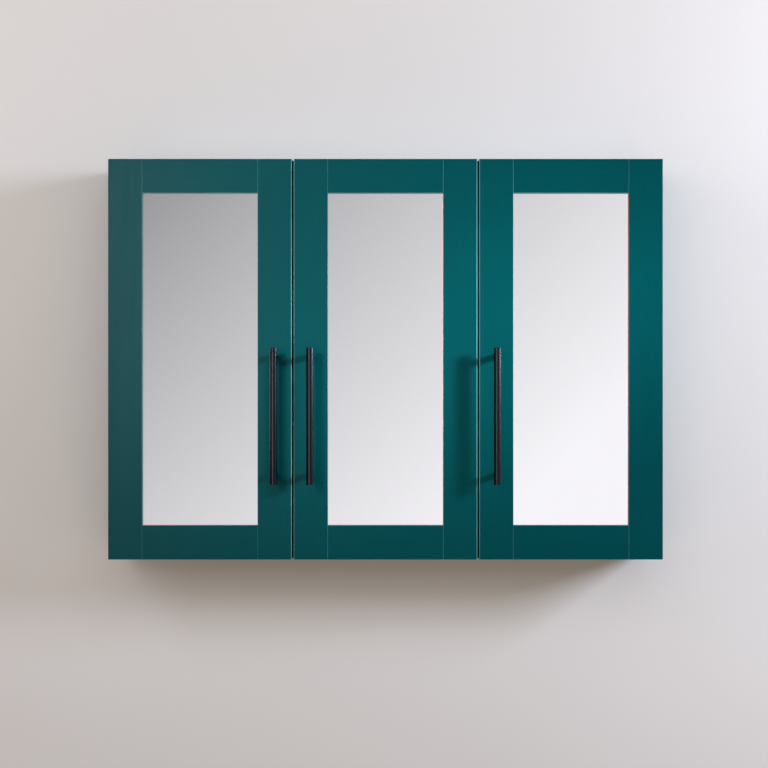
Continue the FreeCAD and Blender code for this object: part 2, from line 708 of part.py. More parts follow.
# Handle pieces: a post with a saddle for the bar, and the screw that holds it through the stile.
post = new_body("handle_post")
post_front = "(0 - %s - bar_standoff)" % DOOR_FRONT
turned(post, "XY_Plane", "V_Axis",
       ("0", "0 - " + DOOR_FRONT), ("post_dia / 2", "0 - " + DOOR_FRONT), ("post_dia / 2", post_front), ("0", post_front))
pocket(post, "XY_Plane", "0", "2 * post_dia", (circle, "0", post_front, "bar_dia / 2"))
pocket(post, "XZ_Plane", DOOR_FRONT + " + post_bore / 2", "post_bore",
       (circle, "0", "0", "handle_screw_dia / 2 + glue_play"))
handle_screw = new_body("handle_screw")
thread_end = "(0 - %s - handle_screw_bite)" % DOOR_FRONT
turned(handle_screw, "XY_Plane", "V_Axis",
       ("0", thread_end), ("handle_screw_dia / 2", thread_end), ("handle_screw_dia / 2", "0 - door_standoff"),
       ("handle_head_dia / 2", "0 - door_standoff"), ("handle_head_dia / 2", "handle_head / 2 - door_standoff"),
       ("handle_head_dia / 4", "handle_head - door_standoff"), ("0", "handle_head - door_standoff"))


# Doors. Each is drawn from its hinge edge, so the same lines serve both hands.
def frame_piece(label, edge, x0, x1, z0, z1):
    body = new_body(label)
    place(body, edge, "0 - carcass_depth")
    pad(body, "XZ_Plane", "door_standoff + door_thick / 2", "door_thick", (rectangle, x0, x1, z0, z1))
    return node(body)


def round_front(body, outside):
    """Rounds the front edges, more on the outside of the door than round the mirror and at the joints."""
    front = -value(DOOR_FRONT)

    def in_front(box):
        straight = near(min(box.XLength, box.ZLength), 0)
        return straight and near(box.YMin, front) and near(box.YMax, front)

    soften(body, "edge_round", lambda box: in_front(box) and outside(box))
    soften(body, "inner_round", lambda box: in_front(box) and not outside(box))


def door(name, edge, way, overlay):
    def across(u):
        return "%d * (%s)" % (way, u)

    tall = "(cab_height / 2)"
    rail_in = "(%s - rail_width)" % tall
    far = "(%s - stile_width)" % DOOR_WIDTH

    def groove(body, x0, x1, z0, z1):
        pocket(body, "XZ_Plane", GROOVE_MIDDLE, GROOVE, (rectangle, x0, x1, z0, z1))

    stile = frame_piece(name + "_door_hinge_stile", edge, "0", across("stile_width"), "0 - " + tall, tall)
    groove(stile, across("stile_width - groove_depth"), across("stile_width"), "0 - " + tall, tall)
    hole = "(cup_depth + cup_play)"
    screw_hole = "(cup_screw_bite - flange_thick + dowel_room)"
    pocket(stile, "XZ_Plane", "door_standoff + %s / 2" % hole, hole,
           *[(circle, across("cup_inset"), "%d * hinge_spread / 2" % end, "cup_dia / 2 + cup_play") for end in ENDS])
    pocket(stile, "XZ_Plane", "door_standoff + %s / 2" % screw_hole, screw_hole,
           *[(circle, across("cup_inset + cup_screw_offset"),
              "%d * hinge_spread / 2 + %d * cup_screw_spacing / 2" % (end, side), "cup_screw_dia / 2 + glue_play")
             for end in ENDS for side in ENDS])
    inside = value(across("stile_width"))
    round_front(stile, lambda box: not near(box.XMin, inside) or not near(box.XMax, inside))

    stile = frame_piece(name + "_door_handle_stile", edge, across(far), across(DOOR_WIDTH), "0 - " + tall, tall)
    groove(stile, across(far), across(far + " + groove_depth"), "0 - " + tall, tall)
    handle_x = across(DOOR_WIDTH + " - stile_width / 2")
    heights = ["%d * post_spacing / 2 - handle_drop" % end for end in ENDS]
    pocket(stile, "XZ_Plane", "door_standoff + door_thick / 2", "door_thick",
           *[(circle, handle_x, height, "handle_screw_dia / 2 + handle_screw_play") for height in heights])
    inside = value(across(far))
    round_front(stile, lambda box: not near(box.XMin, inside) or not near(box.XMax, inside))

    for end, place_name in ((1, "top"), (-1, "bottom")):
        inner = "%d * %s" % (end, rail_in)
        rail = frame_piece("%s_door_%s_rail" % (name, place_name), edge, across("stile_width"), across(far),
                           inner, "%d * %s" % (end, tall))
        pad(rail, "XZ_Plane", GROOVE_MIDDLE, "%s - 2 * tenon_play" % GROOVE,
            (rectangle, across("stile_width - tenon_length"), across(far + " + tenon_length"),
             "%d * (%s + groove_depth)" % (end, rail_in), "%d * %s" % (end, tall)))
        groove(rail, across("stile_width"), across(far), inner, "%d * (%s + groove_depth)" % (end, rail_in))
        outside = value("%d * %s" % (end, tall))
        round_front(rail, lambda box: near(box.ZMin, outside) and near(box.ZMax, outside))

    for sheet_name, start, thick in (("backing_panel", PANEL_BACK, "panel_thick"),
                                     ("mirror", PANEL_BACK + " + panel_thick", "mirror_thick")):
        body = node(new_body("%s_door_%s" % (name, sheet_name)))
        place(body, edge, "0 - carcass_depth")
        lap = "(%s + sheet_lap)" % rail_in
        pad(body, "XZ_Plane", "%s + %s / 2" % (start, thick), thick,
            (rectangle, across("stile_width - sheet_lap"), across(far + " + sheet_lap"), "0 - " + lap, lap))

    handle = node(new_body(name + "_door_handle_bar"))
    out = "(%s + bar_standoff)" % DOOR_FRONT
    place(handle, "%s + %s" % (edge, handle_x), "0 - carcass_depth - " + out, "0 - handle_drop")
    half = "bar_length / 2"
    rim = "bar_dia / 2"
    turned(handle, "XZ_Plane", "V_Axis",
           ("0", "0 - " + half), (rim + " - bar_bevel", "0 - " + half), (rim, "bar_bevel - " + half),
           (rim, half + " - bar_bevel"), (rim + " - bar_bevel", half), ("0", half))
    at = "%s + %s" % (edge, handle_x)
    group(name + "_door_handle_posts", [copy(post, at, "0 - carcass_depth", height) for height in heights])
    group(name + "_door_handle_screws", [copy(handle_screw, at, "0 - carcass_depth", height) for height in heights])

    here = ((name, edge, way, overlay),)
    group(name + "_door_hinge_cups", on_hinges(cup, here))
    group(name + "_door_cup_pins", [one for master in cup_studs for one in on_hinges(master, here)])
    screws = []
    for end in ENDS:
        for side in ENDS:
            height = "%d * hinge_spread / 2 + %d * cup_screw_spacing / 2" % (end, side)
            screws.append(copy(cup_screw, "%s + %s" % (edge, across("cup_inset + cup_screw_offset")),
                               "0 - carcass_depth", height))
    group(name + "_door_cup_screws", screws)
    group(name + "_door_outer_links", on_hinges(outer_link, here))
    group(name + "_door_inner_links", on_hinges(inner_link, here))


for each in DOORS:
    door(*each)

doc.recompute()
for item in doc.Objects:
    if "Invalid" in item.State or "Error" in item.State:
        raise RuntimeError("%s did not build: %s" % (item.Label, item.State))
os.makedirs("parts", exist_ok=True)
for item in nodes:
    shape = item.Shape
    if shape.isNull() or not shape.isValid() or not shape.Solids:
        raise RuntimeError(item.Label + " has no sound solid")
    shape.exportStep("parts/%s.step" % item.Label)
    print("%-28s %3d solids %10.1f mm3" % (item.Label, len(shape.Solids), shape.Volume))
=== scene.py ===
import math

import bpy
from bpy.props import FloatProperty, FloatVectorProperty, IntProperty, PointerProperty
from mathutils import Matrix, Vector


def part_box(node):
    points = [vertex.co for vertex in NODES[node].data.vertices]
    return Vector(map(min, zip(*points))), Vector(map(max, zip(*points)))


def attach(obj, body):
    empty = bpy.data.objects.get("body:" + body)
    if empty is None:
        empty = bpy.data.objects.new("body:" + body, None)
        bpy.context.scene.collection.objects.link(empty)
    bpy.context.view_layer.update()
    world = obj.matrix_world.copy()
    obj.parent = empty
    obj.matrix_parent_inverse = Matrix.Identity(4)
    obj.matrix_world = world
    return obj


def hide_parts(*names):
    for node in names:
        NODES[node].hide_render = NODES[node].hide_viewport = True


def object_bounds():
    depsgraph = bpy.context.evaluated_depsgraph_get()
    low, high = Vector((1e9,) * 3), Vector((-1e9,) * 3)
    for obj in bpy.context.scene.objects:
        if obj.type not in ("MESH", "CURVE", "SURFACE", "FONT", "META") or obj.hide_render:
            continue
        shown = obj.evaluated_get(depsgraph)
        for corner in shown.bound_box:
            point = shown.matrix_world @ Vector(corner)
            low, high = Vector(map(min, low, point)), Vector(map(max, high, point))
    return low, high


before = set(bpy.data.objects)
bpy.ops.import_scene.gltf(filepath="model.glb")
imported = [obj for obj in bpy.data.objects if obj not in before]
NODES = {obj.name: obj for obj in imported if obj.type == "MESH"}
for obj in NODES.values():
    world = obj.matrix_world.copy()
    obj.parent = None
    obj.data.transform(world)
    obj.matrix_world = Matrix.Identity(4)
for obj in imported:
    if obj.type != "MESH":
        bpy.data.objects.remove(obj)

bl_info = {
    "name": "Mirror Cabinet Finishes",
    "version": (1, 0, 0),
    "blender": (4, 5, 0),
    "location": "View3D > Sidebar > Cabinet",
    "description": "Paint, mirrors, fittings and studio for a wall-hung cabinet with framed mirror doors",
    "category": "Object",
}

CAD_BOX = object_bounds()
DOORS = ("left", "middle", "right")
X, Y, Z = 0, 1, 2

# The way that the grain runs in each piece of a door frame, and how a pattern along Z turns for it.
FRAME_RUNS = {
    "hinge_stile": "upright", "handle_stile": "upright", "top_rail": "level", "bottom_rail": "level"}
GRAIN_TURNS = {"upright": (0, 0, 0), "level": (0, math.pi / 2, 0)}

# How far the box of the painted edge highlight reaches past an outer edge and past one at a mirror, in
# metres.
# Edges that are nearer to each other than the touch count as one line.
OUTER_MARGIN = 0.1
MIRROR_MARGIN = 0.0007
TOUCH = 0.001

# Heights of the screw heads in metres, and the width of a shank as a share of its head's width.
HANDLE_HEAD = 0.0024
CUP_HEAD = 0.0015
PLATE_HEAD = 0.0022
FIXING_HEAD = 0.0018
ADJUSTING_HEAD = 0.0011
SHANK_SHARE = 0.5
HEADLESS_SHARE = 0.99

# How a screw is made: the sides of its round parts, the recess's length over the head's radius, its
# greatest depth over the head's height, and the fewest faces that a whole screw has.
HEAD_SIDES = 28
SHANK_SIDES = 20
RECESS_LENGTH = 1.05
DEEPEST_RECESS = 0.8
FEWEST_FACES = 30

# Hinge screws to the left of this line face right, and the others face left.
FACING_LINE = -0.3

# Shine of paint, board and plaster, and the depth of the polished front edge of a glass shelf in metres.
MATT_SPECULAR = 0.1
GLASS_EDGE = 0.0006

# The studio in metres: the wall's gap behind the cabinet, and how far the wall and the floor reach.
WALL_GAP = 0.0012
HALF_WIDTH = 6.0
WALL_TOP = 3.2
FLOOR_DEPTH = 5.0

# The point that the wide lamps aim at, and the place of the key light, which the accent shares.
AIM = (0.0, -0.1, -0.05)
KEY_PLACE = (2.1, -1.2, 0.55)

# The camera stands slightly left of the cabinet's middle and below it. Its sensor is in millimetres.
CAMERA_ASIDE = -0.0024
CAMERA_HEIGHT = -0.0402
SENSOR_WIDTH = 36

# Sockets of a Mix node that mixes colours. Their names repeat, so they go by number.
MIX_SHARE, MIX_FIRST, MIX_SECOND, MIX_RESULT = 0, 6, 7, 2

# What the colour settings of surfaces share.
COLOUR = {"subtype": "COLOR", "size": 3, "min": 0, "max": 1}


# Settings that a user would change.
class PaintSettings(bpy.types.PropertyGroup):
    """Sizes and colours of the painted wood."""

    colour: FloatVectorProperty(
        name="Paint", description="Colour of the satin paint", default=(0.0001, 0.078, 0.0868), **COLOUR)
    shade: FloatProperty(
        name="Grain shade", description="How far the wood grain darkens the paint", default=0.16, min=0,
        max=1)
    gloss: FloatProperty(
        name="Roughness", description="Roughness of the satin paint", default=0.36, min=0, max=1)
    sheen: FloatVectorProperty(
        name="Sheen", description="Colour of the light that the paint throws back", default=(0.1, 0.9, 1.0),
        **COLOUR)
    # The edge colour and its width make a painted highlight: lighter paint along rounded edges, in place of
    # the light that they catch.
    highlight_colour: FloatVectorProperty(
        name="Edge highlight", description="Colour of the painted highlight along an edge",
        default=(0.13, 0.42, 0.45), **COLOUR)
    highlight_width: FloatProperty(
        name="Highlight width", description="How far in from an edge the highlight is painted", default=0.0013,
        min=0, max=0.01, unit="LENGTH", precision=5)
    relief: FloatProperty(
        name="Grain relief", description="Height of the grain under the paint", default=0.00006, min=0,
        max=0.001, unit="LENGTH", precision=6)
    board: FloatVectorProperty(
        name="Raw board", description="Colour of the unpainted side of thin boards",
        default=(0.31, 0.21, 0.125), **COLOUR)


class FittingSettings(bpy.types.PropertyGroup):
    """Sizes and colours of handles, hinges, mirrors and shelves."""

    handle: FloatVectorProperty(
        name="Handle black", description="Colour of the satin black handles",
        default=(0.0013, 0.0012, 0.0016), **COLOUR)
    nickel: FloatVectorProperty(
        name="Nickel", description="Colour of the plated hinges and pins", default=(0.66, 0.63, 0.58),
        **COLOUR)
    zinc: FloatVectorProperty(
        name="Zinc", description="Colour of the screws", default=(0.55, 0.56, 0.57), **COLOUR)
    silver: FloatVectorProperty(
        name="Silvering", description="Colour of the mirror's silver", default=(0.94, 0.935, 0.945), **COLOUR)
    glass: FloatVectorProperty(
        name="Shelf glass", description="Tint that the shelf glass has along its length",
        default=(0.45, 0.86, 0.74), **COLOUR)
    glass_edge: FloatVectorProperty(
        name="Glass edge", description="Colour of the polished front edge of a shelf",
        default=(0.22, 0.5, 0.42), **COLOUR)
    recess_width: FloatProperty(
        name="Recess width", description="Width of one arm of a screw's cross recess", default=0.0009,
        min=0.0003, max=0.003, unit="LENGTH", precision=5)
    recess_depth: FloatProperty(
        name="Recess depth", description="Depth of a screw's cross recess", default=0.0011,
        min=0.0003, max=0.003, unit="LENGTH", precision=5)
    turn_seed: IntProperty(
        name="Turn seed", description="Seed for how far each screw is turned", default=7, min=0)


class StageSettings(bpy.types.PropertyGroup):
    """The wall, the floor, the lights and the camera."""

    wall: FloatVectorProperty(
        name="Wall", description="Colour of the wall and the floor", default=(0.80, 0.785, 0.785), **COLOUR)
    floor_level: FloatProperty(
        name="Floor level", description="Height of the floor, measured from the cabinet's middle",
        default=-1.5, unit="LENGTH")
    floor_light: FloatProperty(
        name="Floor light", description="Glow that keeps the floor pale", default=0.45, min=0)
    key: FloatProperty(
        name="Key light", description="Power of the light on the right", default=45.5, unit="POWER")
    fill: FloatProperty(
        name="Fill light", description="Power of the light on the left", default=8.6, unit="POWER")
    front: FloatProperty(
        name="Front light", description="Power of the wide light in front", default=26.1, unit="POWER")
    doors: FloatProperty(
        name="Door light", description="Power of the soft spot on the doors", default=136, unit="POWER")
    veil: FloatProperty(
        name="Veil", description="Power of the sheen on the left door", default=380, unit="POWER")
    streak: FloatProperty(
        name="Handle light", description="Power of the streak on the handles", default=40, unit="POWER")
    rim: FloatProperty(
        name="Handle rim", description="Power of the streak on the handles' right edge", default=80,
        unit="POWER")
    wash: FloatProperty(
        name="Wall wash", description="Power of the glow above the cabinet", default=0.08, unit="POWER")
    accent: FloatProperty(
        name="Accent", description="Power of the spot between the doors", default=262, unit="POWER")
    rear: FloatProperty(
        name="Rear light", description="Power of the light behind the wall", default=9, unit="POWER")
    ambient: FloatVectorProperty(
        name="Room light", description="Soft light from above", default=(0.02, 0.02, 0.02),
        subtype="COLOR", size=3, min=0)
    ground: FloatVectorProperty(
        name="Floor glow", description="Warm light from below", default=(0.53, 0.415, 0.325),
        subtype="COLOR", size=3, min=0)
    camera_distance: FloatProperty(
        name="Camera distance", description="From the camera to the door fronts", default=2.6, unit="LENGTH")
    lens: FloatProperty(
        name="Lens", description="Focal length in millimetres", default=75.16)


# Node tree helpers.
def feed(tree, source, target):
    """Joins two sockets, or sets a plain value on the target."""
    if isinstance(source, bpy.types.NodeSocket):
        tree.links.new(source, target)
    else:
        target.default_value = source


def feed_all(tree, item, feeds):
    """Feeds several inputs of a node, each by its name or its number."""
    for label, source in feeds.items():
        feed(tree, source, item.inputs[label])


def add(tree, kind, feeds=None, **settings):
    """A new node with its settings, and with what feeds its inputs."""
    item = tree.nodes.new(kind)
    for name, setting in settings.items():
        setattr(item, name, setting)
    feed_all(tree, item, feeds or {})
    return item


def maths(tree, operation, *values):
    """One step of arithmetic on numbers or sockets."""
    return add(tree, "ShaderNodeMath", dict(enumerate(values)), operation=operation).outputs[0]


def ramp(tree, source, low, high, to_low=0.0, to_high=1.0):
    """Brings the range from low to high to another range, and holds it at both ends."""
    feeds = {"Value": source, "From Min": low, "From Max": high, "To Min": to_low, "To Max": to_high}
    return add(tree, "ShaderNodeMapRange", feeds).outputs["Result"]


def noise(tree, vector, scale, detail, rough, distortion=0.0):
    """A soft random value that changes over the vector given."""
    feeds = {"Vector": vector, "Scale": scale, "Detail": detail, "Roughness": rough, "Distortion": distortion}
    return add(tree, "ShaderNodeTexNoise", feeds).outputs["Fac"]


def mix_colours(tree, share, first, second):
    """Goes from the first colour to the second. A plain colour is given by its three parts."""
    feeds = {MIX_SHARE: share}
    for place, colour in ((MIX_FIRST, first), (MIX_SECOND, second)):
        feeds[place] = colour if isinstance(colour, bpy.types.NodeSocket) else (*colour, 1.0)
    return add(tree, "ShaderNodeMix", feeds, data_type="RGBA").outputs[MIX_RESULT]


def axes(tree, vector):
    """The X, Y and Z of a vector, as sockets with those names."""
    return add(tree, "ShaderNodeSeparateXYZ", {"Vector": vector}).outputs


def new_group(name, inputs, outputs):
    """A shader node group with named sockets. Each input is (name, socket type, default)."""
    tree = bpy.data.node_groups.new(name, "ShaderNodeTree")
    for label, kind, default in inputs:
        socket = tree.interface.new_socket(label, in_out="INPUT", socket_type=kind)
        if default is not None:
            socket.default_value = default
    for label, kind in outputs:
        tree.interface.new_socket(label, in_out="OUTPUT", socket_type=kind)
    return tree, tree.nodes.new("NodeGroupInput").outputs, tree.nodes.new("NodeGroupOutput").inputs


# Effects that more than one material uses.
def grain_group():
    """Wood grain under paint: long thin streaks along the Z axis of the vector given."""
    tree, given, result = new_group(
        "painted_grain",
        [("Vector", "NodeSocketVector", None), ("Paint", "NodeSocketColor", (0, 0.1, 0.1, 1)),
         ("Shade", "NodeSocketFloat", 0.1), ("Gloss", "NodeSocketFloat", 0.4)],
        [("Color", "NodeSocketColor"), ("Roughness", "NodeSocketFloat"), ("Height", "NodeSocketFloat")])
    stretch, sway_size, deep_paint = 0.028, 0.012, (0.0, 0.035, 0.042)
    drawn = add(tree, "ShaderNodeMapping", {"Vector": given["Vector"], "Scale": (1, 1, stretch)})
    sway = add(tree, "ShaderNodeTexNoise", {"Vector": given["Vector"], "Scale": 5})
    sway = add(tree, "ShaderNodeVectorMath", {0: sway.outputs["Color"], "Scale": sway_size},
               operation="SCALE")
    bent = add(tree, "ShaderNodeVectorMath", {0: drawn.outputs[0], 1: sway.outputs[0]}, operation="ADD")
    pores = noise(tree, bent.outputs[0], scale=900, detail=4, rough=0.6)
    bands = noise(tree, bent.outputs[0], scale=120, detail=3, rough=0.5)
    clouds = noise(tree, given["Vector"], scale=9, detail=2, rough=0.5)
    streak = maths(tree, "ADD", maths(tree, "MULTIPLY", pores, 0.5), maths(tree, "MULTIPLY", bands, 0.5))
    depth = ramp(tree, streak, 0.36, 0.64)
    shade = maths(tree, "MULTIPLY", maths(tree, "SUBTRACT", 1.0, depth), given["Shade"])
    shade = maths(tree, "ADD", shade, ramp(tree, clouds, 0.3, 0.7, -0.03, 0.05))
    gloss = maths(tree, "ADD", given["Gloss"], ramp(tree, streak, 0.35, 0.65, 0.05, -0.05))
    feed(tree, mix_colours(tree, shade, given["Paint"], deep_paint), result["Color"])
    feed(tree, gloss, result["Roughness"])
    feed(tree, streak, result["Height"])


def edge_highlight_group():
    """Painted highlight along the edges of a board's front, as a mask, from the lowest and the highest corner
    of its box.
    """
    tree, given, result = new_group(
        "edge_highlight_mask",
        [("Vector", "NodeSocketVector", None), ("Low", "NodeSocketVector", None),
         ("High", "NodeSocketVector", None), ("Width", "NodeSocketFloat", 0.001)],
        [("Mask", "NodeSocketFloat")])
    spot, low, high = [axes(tree, given[label]) for label in ("Vector", "Low", "High")]
    # The inset starts wider than any board, and each edge brings it down.
    inset = 1.0
    for axis in ("X", "Z"):
        inset = maths(tree, "MINIMUM", inset, maths(tree, "SUBTRACT", spot[axis], low[axis]))
        inset = maths(tree, "MINIMUM", inset, maths(tree, "SUBTRACT", high[axis], spot[axis]))
    depth = maths(tree, "SUBTRACT", spot["Y"], low["Y"])
    reach = maths(tree, "DIVIDE", maths(tree, "MAXIMUM", inset, depth), given["Width"])
    patchy = ramp(tree, noise(tree, given["Vector"], scale=11, detail=3, rough=0.6), 0.35, 0.6, 0.6, 1.0)
    feed(tree, maths(tree, "MULTIPLY", ramp(tree, reach, 0.6, 1.1, 1.0, 0.0), patchy), result["Mask"])


def smudge_group():
    """Faint wipe marks and settled specks, as masks from 0 to 1."""
    tree, given, result = new_group(
        "wipe_marks",
        [("Vector", "NodeSocketVector", None), ("Spread", "NodeSocketFloat", 6.0)],
        [("Mask", "NodeSocketFloat"), ("Specks", "NodeSocketFloat")])
    wide = noise(tree, given["Vector"], given["Spread"], detail=5, rough=0.5, distortion=0.7)
    dots = add(tree, "ShaderNodeTexVoronoi", {"Vector": given["Vector"], "Scale": 260})
    feed(tree, ramp(tree, wide, 0.42, 0.72), result["Mask"])
    feed(tree, ramp(tree, dots.outputs["Distance"], 0.05, 0.11, 1.0, 0.0), result["Specks"])


def plate_group():
    """Fine drawn lines and soft patches on plated or coated metal."""
    tree, given, result = new_group(
        "drawn_metal",
        [("Vector", "NodeSocketVector", None), ("Metal", "NodeSocketColor", (0.6, 0.6, 0.6, 1)),
         ("Gloss", "NodeSocketFloat", 0.25), ("Wear", "NodeSocketFloat", 0.1)],
        [("Color", "NodeSocketColor"), ("Roughness", "NodeSocketFloat"), ("Height", "NodeSocketFloat")])
    dull, dulling = (0.16, 0.15, 0.14), 0.8
    fine = noise(tree, given["Vector"], scale=2600, detail=2, rough=0.5)
    patch = ramp(tree, noise(tree, given["Vector"], scale=70, detail=4, rough=0.6), 0.4, 0.7)
    tone = maths(tree, "MULTIPLY", patch, given["Wear"])
    rough = maths(tree, "ADD", given["Gloss"], maths(tree, "MULTIPLY", tone, dulling))
    feed(tree, mix_colours(tree, tone, given["Metal"], dull), result["Color"])
    feed(tree, maths(tree, "ADD", rough, ramp(tree, fine, 0.3, 0.7, -0.03, 0.03)), result["Roughness"])
    feed(tree, fine, result["Height"])


# Materials.
def new_material(name):
    """A material with its tree and its main shader."""
    item = bpy.data.materials.new(name)
    item.use_nodes = True
    return item, item.node_tree, item.node_tree.nodes["Principled BSDF"]


def object_spot(tree):
    """Object coordinates, which stay with the piece."""
    return add(tree, "ShaderNodeTexCoord").outputs["Object"]


def use_group(tree, name, **feeds):
    """Places a shared effect with values of its own."""
    return add(tree, "ShaderNodeGroup", feeds, node_tree=bpy.data.node_groups[name]).outputs


def raise_grain(tree, shader, height, distance, strength):
    """Fine relief on a surface, as high as the distance."""
    bump = add(tree, "ShaderNodeBump", {"Strength": strength, "Distance": distance, "Height": height})
    feed(tree, bump.outputs["Normal"], shader.inputs["Normal"])


def painted_grain(tree, vector):
    """The paint's colour, roughness and grain along the Z axis of the vector given."""
    paint = bpy.context.scene.cabinet_paint
    return use_group(tree, "painted_grain", Vector=vector, Paint=(*paint.colour, 1), Shade=paint.shade,
                     Gloss=paint.gloss)


def paint_material(run, highlighted=None):
    """Satin paint over wood whose grain runs upright or level.

    The optional tuple is the name of a node and the corners of the box whose edges get a painted highlight,
    lighter paint in place of the light that the rounded edges catch.
    """
    name = "teal_paint_" + (highlighted[0] if highlighted else run)
    if name in bpy.data.materials:
        return bpy.data.materials[name]
    paint = bpy.context.scene.cabinet_paint
    item, tree, shader = new_material(name)
    spot = object_spot(tree)
    along = add(tree, "ShaderNodeMapping", {"Vector": spot, "Rotation": GRAIN_TURNS[run]})
    grain = painted_grain(tree, along.outputs["Vector"])
    colour = grain["Color"]
    # Lighter paint along the edges is a painted highlight of the light that the rounded edges catch.
    if highlighted:
        edges = use_group(tree, "edge_highlight_mask", Vector=spot, Low=highlighted[1], High=highlighted[2],
                          Width=paint.highlight_width)
        colour = mix_colours(tree, edges["Mask"], colour, paint.highlight_colour)
    feed_all(tree, shader, {
        "Base Color": colour,
        "Roughness": grain["Roughness"],
        "Specular IOR Level": MATT_SPECULAR,
        "Specular Tint": (*paint.sheen, 1),
    })
    raise_grain(tree, shader, grain["Height"], paint.relief, strength=0.6)
    return item


def back_board_material(painted_to):
    """A thin upright board, painted on its front to the depth given, and raw behind."""
    item, tree, shader = new_material("back_board")
    spot = object_spot(tree)
    grain = painted_grain(tree, spot)
    light_fibre, dark_fleck = (0.46, 0.35, 0.23), (0.2, 0.13, 0.075)
    painted = maths(tree, "LESS_THAN", axes(tree, spot)["Y"], painted_to)
    fibre = noise(tree, spot, scale=420, detail=5, rough=0.7)
    flecks = noise(tree, spot, scale=60, detail=3, rough=0.6)
    board = bpy.context.scene.cabinet_paint.board
    raw = mix_colours(tree, ramp(tree, fibre, 0.35, 0.68), board, light_fibre)
    raw = mix_colours(tree, ramp(tree, flecks, 0.45, 0.7, 0.0, 0.35), raw, dark_fleck)
    feed_all(tree, shader, {
        "Base Color": mix_colours(tree, painted, raw, grain["Color"]),
        "Roughness": ramp(tree, painted, 0, 1, 0.82, 0.45),
        "Specular IOR Level": MATT_SPECULAR,
    })
    raise_grain(tree, shader, fibre, distance=0.00008, strength=0.5)
    return item


def metal_material(name, colour, gloss, wear, metallic=1.0, specular=0.5, sheen=(1.0, 1.0, 1.0)):
    """Plated or coated metal, made once for each name."""
    if name in bpy.data.materials:
        return bpy.data.materials[name]
    item, tree, shader = new_material(name)
    metal = use_group(tree, "drawn_metal", Vector=object_spot(tree), Metal=(*colour, 1), Gloss=gloss,
                      Wear=wear)
    feed_all(tree, shader, {
        "Base Color": metal["Color"],
        "Roughness": metal["Roughness"],
        "Metallic": metallic,
        "Specular IOR Level": specular,
        "Specular Tint": (*sheen, 1),
    })
    raise_grain(tree, shader, metal["Height"], distance=0.000004, strength=0.5)
    return item


def nickel_plate():
    """Bright plate on the hinges and the shelf pins."""
    return metal_material("nickel_plate", bpy.context.scene.cabinet_fittings.nickel, gloss=0.2, wear=0.14)


def mottled_material(name, first, second, scale, detail, rough):
    """A material whose colour drifts between two tones. The drift is given back as a mask."""
    item, tree, shader = new_material(name)
    drift = ramp(tree, noise(tree, object_spot(tree), scale, detail, rough), 0.3, 0.7)
    feed(tree, mix_colours(tree, drift, first, second), shader.inputs["Base Color"])
    return item, tree, shader, drift


def dress(name, material):
    """Puts a material on a node of the model in place of its plain one."""
    mesh = NODES[name].data
    mesh.materials.clear()
    mesh.materials.append(material)


